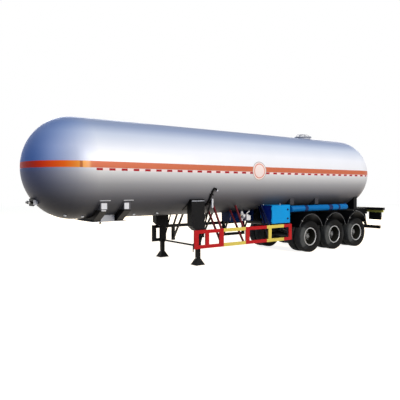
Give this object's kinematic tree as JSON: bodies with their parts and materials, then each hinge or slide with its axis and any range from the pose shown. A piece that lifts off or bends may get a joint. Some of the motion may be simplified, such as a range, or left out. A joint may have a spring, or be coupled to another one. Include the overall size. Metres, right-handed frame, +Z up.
{
  "type": "three-axle pressure gas tanker semi-trailer",
  "caption": "Silver round-ended pressure tanker semi-trailer on landing legs, with twin wheels, side guards, hose tube and tool cabinet.",
  "frame": {"origin": "on the ground under the middle of the whole trailer", "axes": "+X forward to the kingpin end, +Y to the trailer's left, +Z up"},
  "size_m": [12.86, 2.49, 3.975],
  "materials": {
    "silver_shell": "glossy silver enamel",
    "chassis_black": "black chassis paint",
    "guard_red": "red and yellow guard paint",
    "cabinet_blue": "bright blue paint",
    "plain_steel": "plain steel",
    "rim_grey": "dark grey rim paint",
    "tyre_rubber": "matt tyre rubber"
  },
  "bodies": {
    "trailer": {"tank": "silver_shell", "manhole": "silver_shell", "coupler_frame": "chassis_black", "front_saddle_1": "chassis_black", "front_saddle_2": "chassis_black", "hitch_panel": "chassis_black", "landing_bracket_left": "chassis_black", "landing_bracket_right": "chassis_black", "leg_outer_left": "chassis_black", "leg_outer_right": "chassis_black", "leg_inner_left": "chassis_black", "leg_inner_right": "chassis_black", "leg_cross_tube": "chassis_black", "crank_handle": "chassis_black", "vent_pipe": "chassis_black", "axle_1": "chassis_black", "axle_2": "chassis_black", "axle_3": "chassis_black", "subframe": "chassis_black", "mudguards_left": "chassis_black", "mudguards_right": "chassis_black", "rear_beam": "chassis_black", "lamp_panel_left": "chassis_black", "lamp_panel_right": "chassis_black", "underrun_guard": "chassis_black", "side_guard_left": "guard_red", "side_guard_right": "guard_red", "valve_box": "cabinet_blue", "hose_tube": "cabinet_blue", "tool_cabinet": "cabinet_blue", "kingpin": "plain_steel", "liquid_valve": "plain_steel", "flow_meter": "plain_steel"},
    "wheel_set_1_left": {"wheel_1_left": "rim_grey", "tyre_1_left_outer": "tyre_rubber", "tyre_1_left_inner": "tyre_rubber"},
    "wheel_set_1_right": {"wheel_1_right": "rim_grey", "tyre_1_right_outer": "tyre_rubber", "tyre_1_right_inner": "tyre_rubber"},
    "wheel_set_2_left": {"wheel_2_left": "rim_grey", "tyre_2_left_outer": "tyre_rubber", "tyre_2_left_inner": "tyre_rubber"},
    "wheel_set_2_right": {"wheel_2_right": "rim_grey", "tyre_2_right_outer": "tyre_rubber", "tyre_2_right_inner": "tyre_rubber"},
    "wheel_set_3_left": {"wheel_3_left": "rim_grey", "tyre_3_left_outer": "tyre_rubber", "tyre_3_left_inner": "tyre_rubber"},
    "wheel_set_3_right": {"wheel_3_right": "rim_grey", "tyre_3_right_outer": "tyre_rubber", "tyre_3_right_inner": "tyre_rubber"},
    "cabinet_door": {"tool_cabinet_door": "cabinet_blue"},
    "hose_lid": {"hose_tube_lid": "cabinet_blue"}
  },
  "joints": [
    {"name": "wheel_1_left_spin", "type": "hinge", "parent": "trailer", "child": "wheel_set_1_left", "pos_m": [-2.19, 0.907, 0.506], "axis": [0, 1, 0], "continuous": true},
    {"name": "wheel_1_right_spin", "type": "hinge", "parent": "trailer", "child": "wheel_set_1_right", "pos_m": [-2.19, -0.907, 0.506], "axis": [0, 1, 0], "continuous": true},
    {"name": "wheel_2_left_spin", "type": "hinge", "parent": "trailer", "child": "wheel_set_2_left", "pos_m": [-3.425, 0.907, 0.506], "axis": [0, 1, 0], "continuous": true},
    {"name": "wheel_2_right_spin", "type": "hinge", "parent": "trailer", "child": "wheel_set_2_right", "pos_m": [-3.425, -0.907, 0.506], "axis": [0, 1, 0], "continuous": true},
    {"name": "wheel_3_left_spin", "type": "hinge", "parent": "trailer", "child": "wheel_set_3_left", "pos_m": [-4.66, 0.907, 0.506], "axis": [0, 1, 0], "continuous": true},
    {"name": "wheel_3_right_spin", "type": "hinge", "parent": "trailer", "child": "wheel_set_3_right", "pos_m": [-4.66, -0.907, 0.506], "axis": [0, 1, 0], "continuous": true},
    {"name": "cabinet_door_hinge", "type": "hinge", "parent": "trailer", "child": "cabinet_door", "pos_m": [-0.4952, 1.115, 1.27], "axis": [0, 0, -1], "range_deg": [0, 120]},
    {"name": "hose_lid_hinge", "type": "hinge", "parent": "trailer", "child": "hose_lid", "pos_m": [-4.1424, 1.1, 1.535], "axis": [0, 1, 0], "range_deg": [0, 110]}
  ]
}
